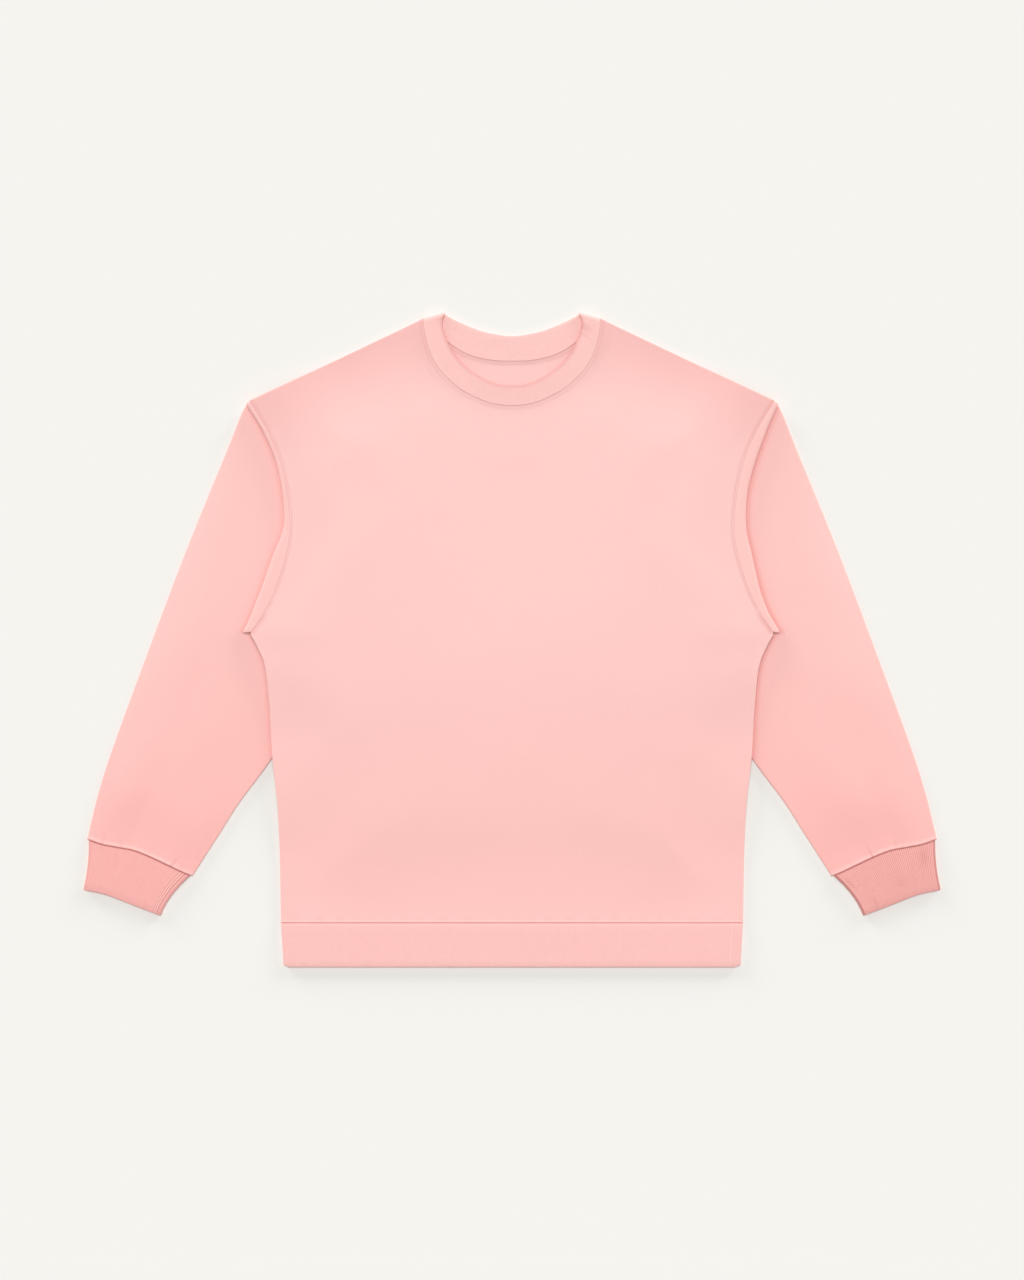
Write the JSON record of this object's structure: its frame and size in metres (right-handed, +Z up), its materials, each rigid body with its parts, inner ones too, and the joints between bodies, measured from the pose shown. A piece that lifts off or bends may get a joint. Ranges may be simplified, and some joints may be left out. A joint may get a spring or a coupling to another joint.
{
  "type": "crewneck sweatshirt",
  "caption": "Crewneck sweatshirt in brushed fleece, laid flat with its sleeves down, with dropped shoulders and a ribbed collar, cuffs and hem band.",
  "frame": {"origin": "middle of the garment's outline, on the surface it lies on", "axes": "+X towards the wearer's left sleeve, +Y towards the collar, +Z up from the surface, out of the garment's front"},
  "size_m": [0.9168, 0.7002, 0.0137],
  "materials": {
    "fleece": "brushed fleece jersey, matt",
    "rib": "doubled 1x1 rib, matt",
    "cuff_rib": "doubled 1x1 rib, matt"
  },
  "bodies": {
    "root": {"front": "fleece", "back": "fleece", "sleeve_left": "fleece", "sleeve_right": "fleece", "cuff_left": "cuff_rib", "cuff_right": "cuff_rib", "hem_rib": "rib", "collar": "rib"}
  },
  "joints": []
}
